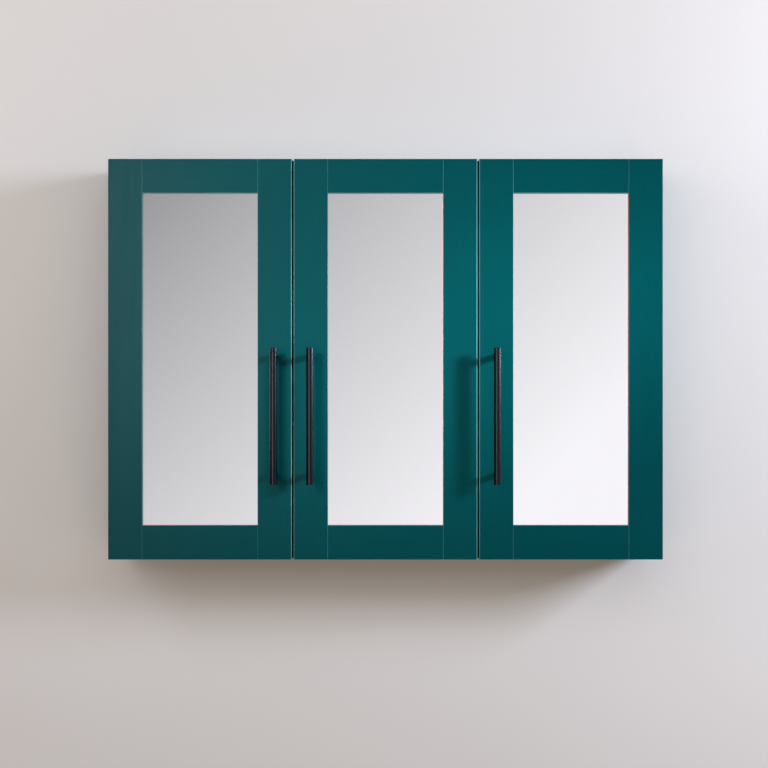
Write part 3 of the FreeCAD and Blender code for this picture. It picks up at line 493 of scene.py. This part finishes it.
# Screws with a cross recess, from one tree of geometry nodes.
def screw_tree():
    """Screws at points, along the way that each point faces, and each turned by chance about itself."""
    tree = bpy.data.node_groups.new("cross_screws", "GeometryNodeTree")
    face = tree.interface
    sizes = {"Head Radius": 0.0035, "Head Height": 0.0015, "Shank Radius": 0.00175, "Shank Length": 0.012,
             "Recess Width": 0.0009, "Recess Depth": 0.0011}
    face.new_socket("Geometry", in_out="INPUT", socket_type="NodeSocketGeometry")
    for label, default in sizes.items():
        face.new_socket(label, in_out="INPUT", socket_type="NodeSocketFloat").default_value = default
    face.new_socket("Seed", in_out="INPUT", socket_type="NodeSocketInt").default_value = 7
    face.new_socket("Material", in_out="INPUT", socket_type="NodeSocketMaterial")
    face.new_socket("Geometry", in_out="OUTPUT", socket_type="NodeSocketGeometry")
    given = tree.nodes.new("NodeGroupInput").outputs
    result = tree.nodes.new("NodeGroupOutput").inputs

    def times(amount, factor):
        return maths(tree, "MULTIPLY", amount, factor)

    def lift(shape, height):
        spot = add(tree, "ShaderNodeCombineXYZ", {"Z": height})
        feeds = {"Geometry": shape, "Translation": spot.outputs[0]}
        return add(tree, "GeometryNodeTransform", feeds).outputs[0]

    def turned_cone(sides, low, high, height, base):
        feeds = {"Vertices": sides, "Radius Bottom": low, "Radius Top": high, "Depth": height}
        return lift(add(tree, "GeometryNodeMeshCone", feeds, fill_type="NGON").outputs["Mesh"], base)

    # The lower half of the head is straight, the upper half is domed, and the parts lap a little.
    radius, tall = given["Head Radius"], given["Head Height"]
    shank, length = given["Shank Radius"], given["Shank Length"]
    half, lap, dome_foot, dome_top = 0.5, 0.02, 0.995, 0.5
    parts = (
        turned_cone(HEAD_SIDES, radius, radius, times(tall, half), 0.0),
        turned_cone(HEAD_SIDES, times(radius, dome_foot), times(radius, dome_top),
                    times(tall, half + lap), times(tall, half - lap)),
        turned_cone(SHANK_SIDES, shank, shank, length, times(length, lap - 1)),
    )
    join = add(tree, "GeometryNodeMeshBoolean", operation="UNION", solver="MANIFOLD")
    for part in parts:
        tree.links.new(part, join.inputs["Mesh 2"])

    # Two crossed blocks, half sunk into the head, cut the recess.
    cut = add(tree, "GeometryNodeMeshBoolean", {"Mesh 1": join.outputs["Mesh"]}, operation="DIFFERENCE",
              solver="MANIFOLD")
    for along, across in (("X", "Y"), ("Y", "X")):
        size = add(tree, "ShaderNodeCombineXYZ", {
            along: times(radius, RECESS_LENGTH),
            across: given["Recess Width"],
            "Z": times(given["Recess Depth"], 2.0),
        })
        block = add(tree, "GeometryNodeMeshCube", {"Size": size.outputs[0]})
        tree.links.new(lift(block.outputs["Mesh"], tall), cut.inputs["Mesh 2"])

    # A cross looks the same after a quarter turn. Inputs 2 and 3 are the least and the most of the chance.
    facing = add(tree, "GeometryNodeInputNamedAttribute", {"Name": "facing"}, data_type="FLOAT_VECTOR")
    aim = add(tree, "FunctionNodeAlignRotationToVector", {"Vector": facing.outputs["Attribute"]}, axis="Z")
    chance = add(tree, "FunctionNodeRandomValue", {2: 0.0, 3: math.tau / 4, "Seed": given["Seed"]},
                 data_type="FLOAT")
    twist = add(tree, "FunctionNodeAxisAngleToRotation", {"Axis": (0, 0, 1), "Angle": chance.outputs[1]})
    spun = add(tree, "FunctionNodeRotateRotation", {0: aim.outputs[0], 1: twist.outputs[0]},
               rotation_space="LOCAL")
    spread = add(tree, "GeometryNodeInstanceOnPoints", {
        "Points": given["Geometry"], "Instance": cut.outputs["Mesh"], "Rotation": spun.outputs[0]})
    real = add(tree, "GeometryNodeRealizeInstances", {0: spread.outputs[0]})
    coat = add(tree, "GeometryNodeSetMaterial", {"Geometry": real.outputs[0], "Material": given["Material"]})
    feed(tree, coat.outputs[0], result["Geometry"])
    return tree


def islands(name):
    """Lowest and highest corner of each separate solid of a node."""
    mesh = NODES[name].data
    spots = [tuple(round(c, 6) for c in v.co) for v in mesh.vertices]
    parent = {spot: spot for spot in spots}

    def root(spot):
        while parent[spot] != spot:
            parent[spot] = parent[parent[spot]]
            spot = parent[spot]
        return spot

    for face in mesh.polygons:
        first = root(spots[face.vertices[0]])
        for corner in face.vertices[1:]:
            parent[root(spots[corner])] = first
    merged = {}
    for spot in parent:
        low, high = merged.setdefault(root(spot), (list(spot), list(spot)))
        for axis in (X, Y, Z):
            low[axis] = min(low[axis], spot[axis])
            high[axis] = max(high[axis], spot[axis])
    return sorted((Vector(low), Vector(high)) for low, high in merged.values())


def seats(solids, axis, tall):
    """The seat of each screw head and the way that it faces: back along Y, or along X into its bay."""
    spots = []
    for low, high in solids:
        seat = (low + high) / 2
        way = -1 if axis == X and seat.x >= FACING_LINE else 1
        seat[axis] = (high if way > 0 else low)[axis] - way * tall
        facing = [0, 0, 0]
        facing[axis] = way
        spots.append((seat, facing))
    return spots


def make_screws(label, node, body, solids, axis, tall, share=SHANK_SHARE):
    """One mesh of screws that lie along an axis, in place of like solids of a node."""
    tree = bpy.data.node_groups.get("cross_screws") or screw_tree()
    fittings = bpy.context.scene.cabinet_fittings
    spots = seats(solids, axis, tall)
    points = bpy.data.meshes.new(label + "_spots")
    points.from_pydata([seat for seat, facing in spots], [], [])
    ways = points.attributes.new("facing", "FLOAT_VECTOR", "POINT")
    ways.data.foreach_set("vector", [part for seat, facing in spots for part in facing])
    carrier = bpy.data.objects.new(label + "_carrier", points)
    bpy.context.scene.collection.objects.link(carrier)
    maker = carrier.modifiers.new("screws", "NODES")
    maker.node_group = tree
    low, high = solids[-1]
    across = Y if axis == X else X
    radius = (high[across] - low[across]) / 2
    values = {
        "Head Radius": radius,
        "Head Height": tall,
        "Shank Radius": radius * share,
        "Shank Length": high[axis] - low[axis] - tall,
        "Recess Width": fittings.recess_width,
        "Recess Depth": min(fittings.recess_depth, tall * DEEPEST_RECESS),
        "Seed": fittings.turn_seed,
        "Material": metal_material("zinc_screw", fittings.zinc, gloss=0.3, wear=0.25),
    }
    for socket in tree.interface.items_tree:
        if socket.in_out == "INPUT" and socket.name in values:
            maker[socket.identifier] = values[socket.name]
    carrier.update_tag()
    graph = bpy.context.evaluated_depsgraph_get()
    mesh = bpy.data.meshes.new_from_object(carrier.evaluated_get(graph))
    bpy.data.objects.remove(carrier)
    mesh.name = label
    if len(mesh.polygons) < FEWEST_FACES * len(spots):
        raise RuntimeError(label + " came out without its screws")
    piece = bpy.data.objects.new(label, mesh)
    bpy.context.scene.collection.objects.link(piece)
    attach(piece, body)
    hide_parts(node)


# Operators, one for each piece or group of like pieces.
class CABINET_OT_effects(bpy.types.Operator):
    """Build the shared effects that the materials use"""

    bl_idname = "cabinet.effects"
    bl_label = "Shared effects"

    def execute(self, context):
        grain_group()
        edge_highlight_group()
        smudge_group()
        plate_group()
        return {"FINISHED"}


class CABINET_OT_carcass(bpy.types.Operator):
    """Paint the carcass boards, with the grain along each board"""

    bl_idname = "cabinet.carcass"
    bl_label = "Carcass"

    def execute(self, context):
        for name in ("side_panel_left", "side_panel_right", "partition"):
            dress(name, paint_material("upright"))
        for name in ("top_panel", "bottom_panel", "hanging_rails"):
            dress(name, paint_material("level"))
        low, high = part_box("back_panel")
        painted_share = 0.1
        dress("back_panel", back_board_material(low.y + (high.y - low.y) * painted_share))
        beech, tree, shader, drift = mottled_material(
            "beech_dowel", (0.56, 0.38, 0.22), (0.68, 0.5, 0.32), scale=300, detail=4, rough=0.6)
        feed(tree, ramp(tree, drift, 0, 1, 0.7, 0.85), shader.inputs["Roughness"])
        dress("carcass_dowels", beech)
        return {"FINISHED"}


class CABINET_OT_door_frames(bpy.types.Operator):
    """Paint the stiles with upright grain and the rails with level grain, with a painted highlight on their
    edges
    """

    bl_idname = "cabinet.door_frames"
    bl_label = "Door frames"

    def execute(self, context):
        boxes = {}
        for door in DOORS:
            for piece in FRAME_RUNS:
                boxes[door, piece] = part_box("%s_door_%s" % (door, piece))
        for (door, piece), box in boxes.items():
            name = "%s_door_%s" % (door, piece)
            own = [boxes[door, other] for other in FRAME_RUNS]
            # The box whose edges get the painted highlight.
            highlighted = self.highlight_box(box, own, boxes.values())
            dress(name, paint_material(FRAME_RUNS[piece], (name, *highlighted)))
        for door in DOORS:
            dress(door + "_door_backing_panel", paint_material("upright"))
        return {"FINISHED"}

    def highlight_box(self, box, own, every):
        """The painted highlight is strongest on the edges between doors, weaker round a mirror and absent on
        the outside.
        """
        low, high = Vector(box[0]), Vector(box[1])
        for axis in (X, Z):
            door_low, end_low = [min(each[axis] for each, _ in group) + TOUCH for group in (own, every)]
            door_high, end_high = [max(each[axis] for _, each in group) - TOUCH for group in (own, every)]
            low[axis] -= self.margin(low[axis] < end_low, low[axis] < door_low)
            high[axis] += self.margin(high[axis] > end_high, high[axis] > door_high)
        return low, high

    def margin(self, at_end, at_door):
        """How far the box of the painted highlight reaches past an edge."""
        if at_end:
            return OUTER_MARGIN
        return 0.0 if at_door else MIRROR_MARGIN


class CABINET_OT_mirrors(bpy.types.Operator):
    """Silver the mirrors, with faint wipe marks on the glass"""

    bl_idname = "cabinet.mirrors"
    bl_label = "Mirrors"

    def execute(self, context):
        silver, tree, shader = new_material("silvered_glass")
        marks = use_group(tree, "wipe_marks", Vector=object_spot(tree), Spread=7.0)
        wiped = maths(tree, "MULTIPLY", marks["Mask"], 0.03)
        specks = maths(tree, "MULTIPLY", marks["Specks"], 0.02)
        feed_all(tree, shader, {
            "Base Color": mix_colours(tree, wiped, context.scene.cabinet_fittings.silver, (0.8, 0.8, 0.8)),
            "Metallic": 1.0,
            "Roughness": maths(tree, "ADD", ramp(tree, marks["Mask"], 0, 1, 0.012, 0.03), specks),
        })
        for door in DOORS:
            dress(door + "_door_mirror", silver)
        return {"FINISHED"}


class CABINET_OT_handles(bpy.types.Operator):
    """Finish the bar handles in satin black and put in their screws"""

    bl_idname = "cabinet.handles"
    bl_label = "Handles"

    def execute(self, context):
        black = metal_material(
            "satin_black", context.scene.cabinet_fittings.handle, gloss=0.25, wear=0.01, metallic=0.0,
            specular=0.25, sheen=(0.62, 0.85, 1.0))
        for door in DOORS:
            dress(door + "_door_handle_bar", black)
            dress(door + "_door_handle_posts", black)
            node = door + "_door_handle_screws"
            make_screws(node + "_detail", node, door + "_door", islands(node), Y, HANDLE_HEAD)
        return {"FINISHED"}


class CABINET_OT_hinges(bpy.types.Operator):
    """Plate the concealed hinges and put in their screws"""

    bl_idname = "cabinet.hinges"
    bl_label = "Hinges"

    def execute(self, context):
        plated = nickel_plate()
        steel = metal_material("bright_pin", context.scene.cabinet_fittings.zinc, gloss=0.24, wear=0.15)
        for name in ("hinge_plates", "hinge_arms"):
            dress(name, plated)
        dress("hinge_arm_pins", steel)
        for door in DOORS:
            for piece in ("hinge_cups", "outer_links", "inner_links"):
                dress("%s_door_%s" % (door, piece), plated)
            dress(door + "_door_cup_pins", steel)
            node = door + "_door_cup_screws"
            make_screws(node + "_detail", node, door + "_door", islands(node), Y, CUP_HEAD)
        node = "hinge_plate_screws"
        make_screws(node + "_detail", node, "carcass", islands(node), X, PLATE_HEAD)
        self.arm_screws("hinge_arm_screws")
        return {"FINISHED"}

    def arm_screws(self, node):
        """The adjusting screw is headless, and the fixing screw behind it is wider and has a low head."""
        groups = {}
        for low, high in islands(node):
            groups.setdefault(round(high.y - low.y, 4), []).append((low, high))
        for width, solids in groups.items():
            if width == min(groups):
                kind, tall, share = "adjusting", ADJUSTING_HEAD, HEADLESS_SHARE
            else:
                kind, tall, share = "fixing", FIXING_HEAD, SHANK_SHARE
            make_screws("hinge_arm_%s_screws_detail" % kind, node, "carcass", solids, X, tall, share)


class CABINET_OT_shelves(bpy.types.Operator):
    """Give the shelves clear glass with a green edge, plate their pins and finish the buffers"""

    bl_idname = "cabinet.shelves"
    bl_label = "Shelves and buffers"

    def execute(self, context):
        glass = self.glass_material(context.scene.cabinet_fittings)
        dress("glass_shelves_wide", glass)
        dress("glass_shelves_narrow", glass)
        dress("shelf_pins", nickel_plate())
        soft, tree, shader, drift = mottled_material(
            "soft_buffer", (0.72, 0.73, 0.71), (0.8, 0.81, 0.79), scale=500, detail=3, rough=0.6)
        feed_all(tree, shader, {
            "Roughness": ramp(tree, drift, 0, 1, 0.35, 0.5),
            "Subsurface Weight": 0.3,
            "Subsurface Radius": (0.003, 0.003, 0.003),
        })
        dress("door_buffers", soft)
        return {"FINISHED"}

    def glass_material(self, fittings):
        """Clear glass that tints what is seen along it, with a greener front edge."""
        item, tree, shader = new_material("shelf_glass")
        spot = object_spot(tree)
        marks = use_group(tree, "wipe_marks", Vector=spot, Spread=11.0)
        edge_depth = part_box("glass_shelves_wide")[0].y + GLASS_EDGE
        front = maths(tree, "LESS_THAN", axes(tree, spot)["Y"], edge_depth)
        feed_all(tree, shader, {
            "Base Color": mix_colours(tree, front, (0.97, 0.99, 0.985), fittings.glass_edge),
            "Transmission Weight": ramp(tree, front, 0, 1, 1.0, 0.25),
            "IOR": 1.52,
            "Roughness": ramp(tree, marks["Mask"], 0, 1, 0.0, 0.035),
        })
        body = add(tree, "ShaderNodeVolumeAbsorption", {"Color": (*fittings.glass, 1), "Density": 6})
        feed(tree, body.outputs[0], tree.nodes["Material Output"].inputs["Volume"])
        return item


class CABINET_OT_stage(bpy.types.Operator):
    """Set up the wall, the floor, the soft lights and the camera"""

    bl_idname = "cabinet.stage"
    bl_label = "Stage"

    def execute(self, context):
        stage = context.scene.cabinet_stage
        self.wall_and_floor(stage)
        self.room(context, stage)
        self.lamps(stage)
        self.camera(context, stage)
        view = context.scene.view_settings
        view.view_transform = "Standard"
        view.look = "None"
        view.exposure = 0.0
        view.gamma = 1.0
        return {"FINISHED"}

    def wall_and_floor(self, stage):
        """The wall casts no shadow, so that the light behind it reaches the cabinet's back."""
        back = CAD_BOX[1].y + WALL_GAP
        low, left, right = stage.floor_level, -HALF_WIDTH, HALF_WIDTH
        wall = self.sheet("studio_wall", self.wall_material(stage), [
            (left, back, low), (right, back, low), (right, back, WALL_TOP), (left, back, WALL_TOP)])
        wall.visible_shadow = False
        floor = self.sheet("studio_floor", self.floor_material(stage), [
            (left, -FLOOR_DEPTH, low), (right, -FLOOR_DEPTH, low), (right, back, low), (left, back, low)])
        floor.visible_diffuse = False

    def sheet(self, label, material, corners):
        """A flat sheet of the studio, which isn't part of the cabinet."""
        mesh = bpy.data.meshes.new(label)
        mesh.from_pydata(corners, [], [(0, 1, 2, 3)])
        mesh.materials.append(material)
        item = bpy.data.objects.new(label, mesh)
        bpy.context.scene.collection.objects.link(item)
        return item

    def matt_material(self, name, stage):
        """Matt paint with faint clouds, for the wall and the floor."""
        cloudiness = 0.015
        shade = [part * (1 - cloudiness) for part in stage.wall]
        item, tree, shader, _ = mottled_material(name, stage.wall, shade, scale=2.2, detail=3, rough=0.5)
        feed_all(tree, shader, {"Roughness": 0.9, "Specular IOR Level": MATT_SPECULAR})
        return item, tree, shader

    def wall_material(self, stage):
        """Seen from behind the wall is clear, so that views from there show the cabinet's back."""
        item, tree, shader = self.matt_material("matt_wall", stage)
        plaster = noise(tree, object_spot(tree), scale=700, detail=3, rough=0.6)
        raise_grain(tree, shader, plaster, distance=0.0002, strength=0.25)
        side = add(tree, "ShaderNodeNewGeometry")
        clear = add(tree, "ShaderNodeBsdfTransparent")
        pick = add(tree, "ShaderNodeMixShader", {
            0: side.outputs["Backfacing"], 1: shader.outputs[0], 2: clear.outputs[0]})
        feed(tree, pick.outputs[0], tree.nodes["Material Output"].inputs["Surface"])
        return item

    def floor_material(self, stage):
        """The floor glows a little to stay pale, and isn't used as a lamp."""
        item, tree, shader = self.matt_material("pale_floor", stage)
        glow = (0.9, 0.88, 0.87, 1)
        feed_all(tree, shader, {"Emission Color": glow, "Emission Strength": stage.floor_light})
        item.cycles.emission_sampling = "NONE"
        return item

    def room(self, context, stage):
        """Soft light all round, and a pale room that is brighter to the right and low down."""
        world = bpy.data.worlds.new("studio")
        context.scene.world = world
        world.use_nodes = True
        tree = world.node_tree
        way = axes(tree, add(tree, "ShaderNodeTexCoord").outputs["Generated"])
        to_right, to_top, level, dimmest, side_share = 1.5, -1.6, 0.76, 0.26, 0.22
        slope = maths(tree, "ADD", maths(tree, "MULTIPLY", way["X"], to_right),
                      maths(tree, "MULTIPLY", way["Z"], to_top))
        glow = maths(tree, "MAXIMUM", maths(tree, "ADD", slope, level), dimmest)
        aside = ramp(tree, maths(tree, "ABSOLUTE", way["X"]), 0.25, 0.6, 1.0, side_share)
        glow = maths(tree, "MULTIPLY", maths(tree, "MINIMUM", glow, 1.0), aside)
        pale = mix_colours(tree, glow, (0.0, 0.0, 0.0), (0.985, 0.975, 1.0))
        soft = mix_colours(tree, maths(tree, "LESS_THAN", way["Z"], 0.0), stage.ambient, stage.ground)
        path = add(tree, "ShaderNodeLightPath").outputs
        seen = maths(tree, "MAXIMUM", path["Is Glossy Ray"], path["Is Camera Ray"])
        feed(tree, mix_colours(tree, seen, soft, pale), tree.nodes["Background"].inputs["Color"])

    def lamps(self, stage):
        """Soft lamps for all, and lamps that only the frames, the handles or the wall receive."""
        frames = self.ending("_stile", "_rail", "_backing_panel")
        handles = self.ending("_bar", "_posts")
        right_handle = [NODES["right_door_handle_bar"], NODES["right_door_handle_posts"]]
        self.area("key_light", KEY_PLACE, (0.5, 0.7), stage.key, (0.79, 0.86, 1.0))
        self.area("fill_light", (-1.38, -1.3, 0.5), (0.4, 1.5), stage.fill, (0.95, 0.96, 1.0))
        front = self.area("front_light", (0.0, -3.0, 1.2), (3.0, 2.0), stage.front, (1.0, 1.0, 0.96))
        front.visible_glossy = False
        self.reach(front, "receiver", frames, "EXCLUDE")
        doors = self.spot("door_light", (-1.3, -2.6, 0.9), (-0.05, -0.15, 0.15), 22, stage.doors)
        doors.visible_glossy = False
        self.reach(doors, "receiver", frames, "INCLUDE")
        self.reach(doors, "blocker", right_handle, "EXCLUDE")
        sheens = (
            ("veil_light", (-1.35, -3.0, 0.4), (0.8, 1.3), stage.veil, (1.0, 0.085, 0.08), frames),
            ("streak_light", (-1.35, -3.0, 0.15), (0.8, 1.2), stage.streak, (1.0, 0.76, 0.74), handles),
            ("rim_light", (2.4, -0.2, 0.45), (0.3, 0.8), stage.rim, (0.9, 0.86, 1.0), handles),
        )
        for label, place, size, power, colour, items in sheens:
            sheen = self.area(label, place, size, power, colour)
            sheen.visible_diffuse = False
            self.reach(sheen, "receiver", items, "INCLUDE")
        above, before = CAD_BOX[1].z + 0.012, -0.105
        wash = self.area("wash_light", (0.0, before, above), (0.8, 0.02), stage.wash, (1.0, 0.97, 0.94),
                         target=(0.0, 0.0, above))
        self.reach(wash, "receiver", [bpy.data.objects["studio_wall"]], "INCLUDE")
        self.spot("accent_light", KEY_PLACE, (0.155, -0.15, 0.04), 12.5, stage.accent)
        self.area("rear_light", (0.0, 1.3, 0.0), (0.8, 0.5), stage.rear, (1.0, 1.0, 1.0))

    def ending(self, *ends):
        """The nodes of the model whose names end in one of the ways given."""
        return [node for name, node in NODES.items() if name.endswith(ends)]

    def area(self, label, place, size, power, colour, target=AIM):
        """A soft flat lamp, which the camera doesn't see."""
        lamp = bpy.data.lights.new(label, "AREA")
        lamp.shape = "RECTANGLE"
        lamp.size, lamp.size_y = size
        lamp.color = colour
        item = self.hang(label, lamp, place, target, power)
        item.visible_camera = False
        return item

    def spot(self, label, place, target, spread, power):
        """A lamp whose cone, given in degrees, fades from its middle to its edge."""
        lamp = bpy.data.lights.new(label, "SPOT")
        lamp.spot_size = math.radians(spread)
        lamp.spot_blend = 1.0
        lamp.shadow_soft_size = 0.12
        return self.hang(label, lamp, place, target, power)

    def hang(self, label, lamp, place, target, power):
        """Puts a lamp at its place and turns it to its target."""
        lamp.energy = power
        item = bpy.data.objects.new(label, lamp)
        item.location = place
        item.rotation_euler = (Vector(target) - Vector(place)).to_track_quat("-Z", "Y").to_euler()
        bpy.context.scene.collection.objects.link(item)
        return item

    def reach(self, lamp, role, items, state):
        """Names what alone receives or blocks a lamp's light, or with EXCLUDE what alone doesn't."""
        group = bpy.data.collections.new("%s_%s" % (lamp.name, role))
        for item in items:
            group.objects.link(item)
        for entry in group.collection_objects:
            entry.light_linking.link_state = state
        setattr(lamp.light_linking, role + "_collection", group)

    def camera(self, context, stage):
        """Stands straight in front of the doors, as in the photograph."""
        lens = bpy.data.cameras.new("camera")
        lens.sensor_width = SENSOR_WIDTH
        lens.lens = stage.lens
        item = bpy.data.objects.new("camera", lens)
        door_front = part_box("middle_door_hinge_stile")[0].y
        item.location = (CAMERA_ASIDE, door_front - stage.camera_distance, CAMERA_HEIGHT)
        item.rotation_euler = (math.pi / 2, 0, 0)
        context.scene.collection.objects.link(item)
        context.scene.camera = item


OPERATORS = (
    CABINET_OT_effects, CABINET_OT_carcass, CABINET_OT_door_frames, CABINET_OT_mirrors, CABINET_OT_handles,
    CABINET_OT_hinges, CABINET_OT_shelves, CABINET_OT_stage)
SETTINGS = {
    "cabinet_paint": PaintSettings, "cabinet_fittings": FittingSettings, "cabinet_stage": StageSettings}


class CABINET_PT_panel(bpy.types.Panel):
    """Lists the settings and the finishes of the cabinet"""

    bl_label = "Mirror cabinet"
    bl_space_type = "VIEW_3D"
    bl_region_type = "UI"
    bl_category = "Cabinet"

    def draw(self, context):
        layout = self.layout
        for group, kind in SETTINGS.items():
            box = layout.box()
            for name in kind.__annotations__:
                box.prop(getattr(context.scene, group), name)
        for kind in OPERATORS:
            layout.operator(kind.bl_idname)


CLASSES = (*SETTINGS.values(), *OPERATORS, CABINET_PT_panel)


def register():
    for kind in CLASSES:
        bpy.utils.register_class(kind)
    for name, kind in SETTINGS.items():
        setattr(bpy.types.Scene, name, PointerProperty(type=kind))


def unregister():
    for name in SETTINGS:
        delattr(bpy.types.Scene, name)
    for kind in reversed(CLASSES):
        bpy.utils.unregister_class(kind)


def main():
    register()
    bpy.ops.cabinet.effects()
    bpy.ops.cabinet.carcass()
    bpy.ops.cabinet.door_frames()
    bpy.ops.cabinet.mirrors()
    bpy.ops.cabinet.handles()
    bpy.ops.cabinet.hinges()
    bpy.ops.cabinet.shelves()
    bpy.ops.cabinet.stage()


if __name__ == "__main__":
    main()
